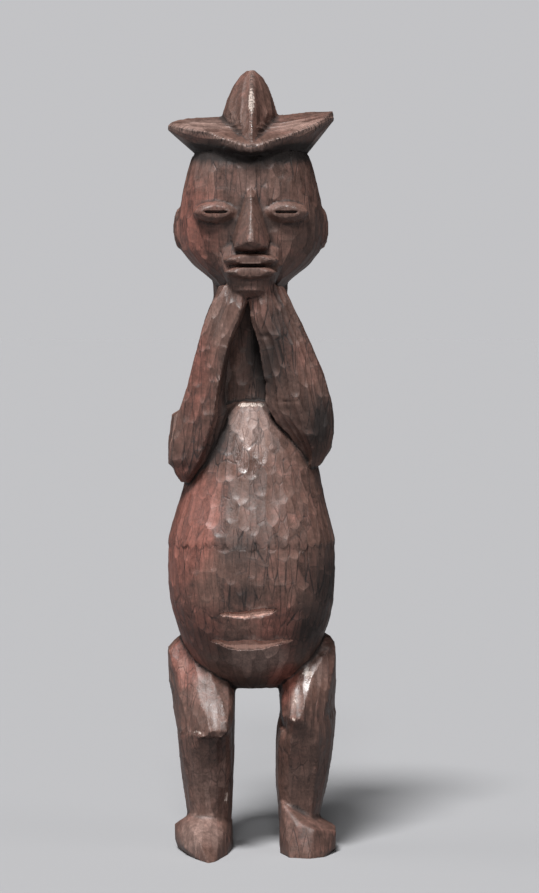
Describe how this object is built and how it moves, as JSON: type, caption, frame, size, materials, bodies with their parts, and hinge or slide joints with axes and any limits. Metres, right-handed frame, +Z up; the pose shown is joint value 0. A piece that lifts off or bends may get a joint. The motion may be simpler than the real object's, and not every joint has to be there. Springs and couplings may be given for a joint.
{
  "type": "male figure",
  "caption": "Standing male figure carved in wood: lobed headdress, hands raised to the chin, elbows on a large rounded belly, short bent legs and blocky feet.",
  "frame": {"origin": "on the floor under the middle of the figure's outline seen from above", "axes": "+Z up through the crest, -Y the way the figure faces, +X to the right of someone who faces it"},
  "size_m": [0.153, 0.1546, 0.7],
  "materials": {
    "pigmented_wood": "oiled hardwood rubbed with red earth pigment, worn to a dull sheen on its ridges"
  },
  "bodies": {
    "root": {"figure": "pigmented_wood"}
  },
  "joints": []
}
